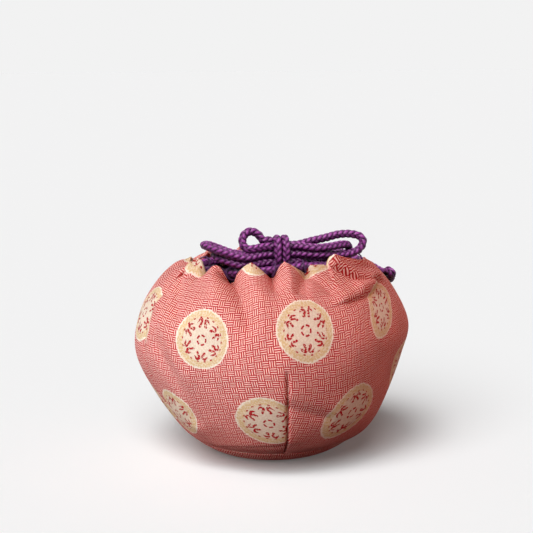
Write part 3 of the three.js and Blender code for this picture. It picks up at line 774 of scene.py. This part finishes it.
# small mirrored curls in six groups round each wheel, and a dashed hub
sector = maths(tree, "MULTIPLY", angle, brocade["groups"] / (2 * math.pi))
sector = maths(tree, "FRACT", sector)
sector = maths(tree, "SUBTRACT", sector, 0.5)
sector = maths(tree, "ABSOLUTE", sector)
aside = maths(tree, "MULTIPLY", sector, 2 * math.pi / brocade["groups"])
aside = maths(tree, "MULTIPLY", aside, radius)
outer = maths(tree, "SUBTRACT", radius, brocade["curlRing"])
curlSpot = addNode(tree, "CombineXYZ", {0: aside, 1: outer})
curlSpot = addNode(tree, "VectorMath", {0: shake, 1: (1.6, 1.6, 0), 2: curlSpot}, operation="MULTIPLY_ADD")
curl = addNode(tree, "VectorMath", {0: curlSpot, 1: brocade["curlAt"]}, out="Value", operation="DISTANCE")
curl = maths(tree, "COMPARE", curl, brocade["curlSize"], brocade["curlLine"])
gap = addNode(tree, "VectorMath", {0: curlSpot, 1: brocade["gapAt"]}, out="Value", operation="DISTANCE")
gap = maths(tree, "GREATER_THAN", gap, brocade["gapSize"])
curl = maths(tree, "MULTIPLY", curl, gap)
foot = addNode(tree, "VectorMath", {0: curlSpot, 1: brocade["footAt"]}, out="Value", operation="DISTANCE")
foot = maths(tree, "LESS_THAN", foot, brocade["footSize"])
curl = maths(tree, "MAXIMUM", curl, foot)
speck = maths(tree, "COMPARE", radius, brocade["specks"], brocade["speckLine"])
dot = maths(tree, "MULTIPLY", angle, brocade["speckCount"])
dot = maths(tree, "COSINE", dot)
dot = maths(tree, "GREATER_THAN", dot, 0.55)
speck = maths(tree, "MULTIPLY", speck, dot)
curl = maths(tree, "MAXIMUM", curl, speck)
whole = addNode(tree, "MapRange", {0: fine, 1: 0.36, 2: 0.46}, interpolation_type="SMOOTHSTEP")
curl = maths(tree, "MULTIPLY", curl, whole)  # broken where the ground threads cross
hub = maths(tree, "COMPARE", radius, brocade["hub"], brocade["hubLine"])
dash = maths(tree, "MULTIPLY", angle, brocade["dashCount"])
dash = maths(tree, "COSINE", dash)
dash = maths(tree, "GREATER_THAN", dash, -0.55)
hub = maths(tree, "MULTIPLY", hub, dash)
marks = maths(tree, "MAXIMUM", curl, hub)
ribs = maths(tree, "MULTIPLY", y, 2 * math.pi / brocade["ribPitch"])
ribs = maths(tree, "SINE", ribs)
weft = maths(tree, "MULTIPLY", x, 2 * math.pi / brocade["weftPitch"])
weft = maths(tree, "SINE", weft)
floats = maths(tree, "MULTIPLY", ribs, weft)
floatTone = maths(tree, "MULTIPLY_ADD", floats, 0.14, 0.94)
disc = addNode(tree, "VectorMath", {0: disc, "Scale": floatTone}, operation="SCALE")
disc = blend(tree, marks, disc, linear(brocade["mark"]))
face = blend(tree, wheel, ground, disc)
worn = addNode(tree, "MapRange", {0: broad, 1: 0.3, 2: 0.7, 3: 0.93, 4: 1.05})
face = addNode(tree, "VectorMath", {0: face, "Scale": worn}, operation="SCALE")
# painted shade: ambient occlusion darkens and reddens the cloth's colour in folds, hollows and near the floor
paintedShadeAo = addNode(tree, "AmbientOcclusion", {"Distance": brocade["shadeReach"] * mm}, out="AO", samples=6)
paintedFoldShade = blend(tree, paintedShadeAo, brocade["shadeTint"], (1, 1, 1, 1))
face = addNode(tree, "Mix", {0: 1.0, 6: face, 7: paintedFoldShade}, out=2, data_type="RGBA", blend_type="MULTIPLY")
tree.links.new(face, shader.inputs["Base Color"])  # painted shade: darker and redder in folds, under the bow and near the floor
discHeight = maths(tree, "MULTIPLY_ADD", floats, 0.3, 0.6)
height = addNode(tree, "Mix", {0: wheel, 2: lines, 3: discHeight}, data_type="FLOAT")
rough = addNode(tree, "MapRange", {0: height, 3: 0.78, 4: 0.6})
tree.links.new(rough, shader.inputs["Roughness"])
bump = addNode(tree, "Bump", {"Height": height, "Distance": brocade["relief"] * mm, "Strength": 0.7})
tree.links.new(bump, shader.inputs["Normal"])
shader.inputs["Specular IOR Level"].default_value = 0.05

# braided silk cord: eight glossy strands with fine filaments; shade is painted in where they dip under one
# another
braid = {"deep": "#0A0209", "mid": "#2C0A2A", "bright": "#5A1C57", "crown": "#8A3A85",
         "filaments": 5.0, "creviceShadeReach": 5.0}  # filaments to a strand, and mm
cordMaterial, tree, shader = newMaterial("braided_silk_cord")
# painted shade: the colour darkens from the strands' crowns to near black at the cord's core, where strands
# dip under one another
depth = addNode(tree, "Attribute", out="Fac", attribute_name="depth")
strandShadeTone = addNode(tree, "ValToRGB", {0: depth}, out=None)
fillRamp(strandShadeTone.color_ramp, [(0.35, braid["deep"]), (0.68, braid["mid"]), (0.9, braid["bright"]),
                           (1.0, braid["crown"])])
strandUv = addNode(tree, "UVMap", uv_map="strand")
strandParts = addNode(tree, "SeparateXYZ", {0: strandUv}, out=None)
filament = maths(tree, "MULTIPLY", strandParts.outputs[1], 2 * math.pi * braid["filaments"])
filament = maths(tree, "SINE", filament)
lengthwise = addNode(tree, "VectorMath", {0: strandUv, 1: (60, 14, 1)}, operation="MULTIPLY")
slub = addNode(tree, "TexNoise", {"Vector": lengthwise, "Scale": 1.0, "Detail": 2.0})
shade = maths(tree, "MULTIPLY_ADD", filament, 0.08, 0.78)
shade = maths(tree, "MULTIPLY_ADD", slub, 0.45, shade)
paintedShadeAo = addNode(tree, "AmbientOcclusion", {"Distance": braid["creviceShadeReach"] * mm}, out="AO", samples=8)
shade = maths(tree, "MULTIPLY", shade, paintedShadeAo)  # painted shade: ambient occlusion blackens the colour deep between strands
cordTone = addNode(tree, "VectorMath", {0: strandShadeTone.outputs[0], "Scale": shade}, operation="SCALE")
tree.links.new(cordTone, shader.inputs["Base Color"])
bump = addNode(tree, "Bump", {"Height": filament, "Distance": 0.04 * mm, "Strength": 0.6})
tree.links.new(bump, shader.inputs["Normal"])
gloss = addNode(tree, "MapRange", {0: slub, 1: 0.3, 2: 0.7, 3: 0.36, 4: 0.52})
tree.links.new(gloss, shader.inputs["Roughness"])
shader.inputs["Specular IOR Level"].default_value = 0.3

# twisted sewing thread: the same dye, duller and darker
threadSilk = {"dark": "#2A0E33", "light": "#5A2765", "fleck": 1800.0}
threadMaterial, tree, shader = newMaterial("twisted_silk_thread")
place = addNode(tree, "TexCoord", out="Object")
fleck = addNode(tree, "TexNoise", {"Vector": place, "Scale": threadSilk["fleck"], "Detail": 2.0})
threadTone = blend(tree, fleck, linear(threadSilk["dark"]), linear(threadSilk["light"]))
tree.links.new(threadTone, shader.inputs["Base Color"])
shader.inputs["Roughness"].default_value = 0.55

# plain near-black silk lining: a fine close weave
liningSilk = {"dark": "#120716", "light": "#24122B", "weave": 420.0}
liningMaterial, tree, shader = newMaterial("dark_lining_silk")
place = addNode(tree, "TexCoord", out="Object")
wave = {"Vector": place, "Scale": liningSilk["weave"], "Distortion": 0.6}
warpWave = addNode(tree, "TexWave", wave, out="Fac", bands_direction="X")
weftWave = addNode(tree, "TexWave", wave, out="Fac", bands_direction="Z")
weaveTone = maths(tree, "MULTIPLY", warpWave, weftWave)
liningTone = blend(tree, weaveTone, linear(liningSilk["dark"]), linear(liningSilk["light"]))
tree.links.new(liningTone, shader.inputs["Base Color"])
bump = addNode(tree, "Bump", {"Height": weaveTone, "Distance": 0.05 * mm, "Strength": 0.5})
tree.links.new(bump, shader.inputs["Normal"])
shader.inputs["Roughness"].default_value = 0.6
for piece in (frontCloth, backCloth, baseCloth):
    piece.data.materials.append(clothMaterial)
lining.data.materials.append(liningMaterial)
drawcord.data.materials.append(cordMaterial)
for piece in threads:
    piece.data.materials.append(threadMaterial)
print("materials made")

# pale studio: a wide low key from the left and a warm weak fill from the right, on cloth and thread alone,
# and a small lamp above for all; floor and cord have a lamp each, the floor's to the backdrop's tone
studio = {
    "backdrop": "#F2F2F2", "floor": "#F0F0F0", "floorSize": 6.0, "bounce": "#202020",
    "glow": 0.092, "glowTint": (1, 0.93, 0.9, 1), "fill": 0.05, "fillTint": (1, 0.66, 0.56, 1),
    "keyFrom": (-0.823, -0.514, 0.242), "keyAngle": 55.0, "keyStrength": 4.0, "keyTint": (1, 1, 1),
    "topFrom": (-0.269, -0.384, 0.883), "topAngle": 24.0, "topStrength": 0.8, "topTint": (1, 1, 1),
    "rightFrom": (0.765, -0.441, 0.469), "rightAngle": 90.0, "rightStrength": 1.55,
    "rightTint": (1, 0.5, 0.4),
    "sweepFrom": (-0.335, -0.58, 0.743), "sweepAngle": 52.0, "sweepStrength": 2.85,
    "sweepTint": (0.95, 0.985, 1),
    "bowFrom": (-0.2, -0.46, 0.866), "bowAngle": 50.0, "bowStrength": 4.5, "bowTint": (1, 1, 1),
}
bpy.ops.mesh.primitive_plane_add(size=studio["floorSize"], location=(0, 0, -0.0002))
floor = bpy.context.object
floor.name = "studio_floor"
bpy.ops.object.transform_apply(location=True, rotation=True, scale=True)
floorMaterial, tree, shader = newMaterial("pale_floor")  # smooth matt paper, with barely seen fibres
place = addNode(tree, "TexCoord", out="Object")
fibre = addNode(tree, "TexNoise", {"Vector": place, "Scale": 900.0, "Detail": 2.0})
seen = seenDirectly(tree)
floorTone = blend(tree, seen, linear(studio["bounce"]), linear(studio["floor"]))
tree.links.new(floorTone, shader.inputs["Base Color"])
glow = maths(tree, "MULTIPLY", seen, studio["glow"])  # paper lit to the backdrop's white
tree.links.new(glow, shader.inputs["Emission Strength"])
shader.inputs["Emission Color"].default_value = studio["glowTint"]  # evens out the cool lamp
bump = addNode(tree, "Bump", {"Height": fibre, "Distance": 0.02 * mm, "Strength": 0.1})
tree.links.new(bump, shader.inputs["Normal"])
shader.inputs["Roughness"].default_value = 1.0
shader.inputs["Specular IOR Level"].default_value = 0.0
floor.data.materials.append(floorMaterial)

world = bpy.data.worlds.new("studio_world")
stage.world = world
world.use_nodes = True
tree = world.node_tree
seen = seenDirectly(tree)
level = addNode(tree, "MapRange", {0: seen, 3: studio["fill"], 4: 1.0})
skyTone = blend(tree, seen, studio["fillTint"], linear(studio["backdrop"]))
tree.links.new(skyTone, tree.nodes["Background"].inputs["Color"])
tree.links.new(level, tree.nodes["Background"].inputs["Strength"])

clothParts = bpy.data.collections.new("cloth_parts")
cordParts = bpy.data.collections.new("cord_parts")
cordParts.objects.link(drawcord)
for piece in [frontCloth, backCloth, baseCloth, lining] + threads:
    clothParts.objects.link(piece)
floorParts = bpy.data.collections.new("floor_parts")
floorParts.objects.link(floor)
for name in ("key", "top", "right", "sweep", "bow"):
    lampData = bpy.data.lights.new(name + "_light", "SUN")
    lampData.angle = math.radians(studio[name + "Angle"])
    lampData.energy = studio[name + "Strength"]
    lampData.color = studio[name + "Tint"]
    lamp = bpy.data.objects.new(name + "_light", lampData)
    lamp.rotation_euler = (-Vector(studio[name + "From"])).to_track_quat("-Z", "Y").to_euler()
    stage.collection.objects.link(lamp)
    lit = {"key": clothParts, "right": clothParts, "sweep": floorParts, "bow": cordParts}.get(name)
    if lit:
        lamp.light_linking.receiver_collection = lit
print("studio lit")

# what each piece stands for
bodyPieces = {"front_panel": frontCloth, "back_panel": backCloth, "base_panel": baseCloth, "lining": lining}
cordNodes = ["mouth_cord", "bow_knot", "bow_loop_small", "bow_loop_left_outer", "bow_loop_left_inner",
             "bow_loop_right", "bow_loop_back"]
for node, piece in bodyPieces.items():
    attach(piece, "root")
    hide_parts(node)
for i, thread in enumerate(threads):
    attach(thread, "root")
    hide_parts("rim_loop_%d" % (i + 1))
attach(drawcord, "root")
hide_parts(*cordNodes)
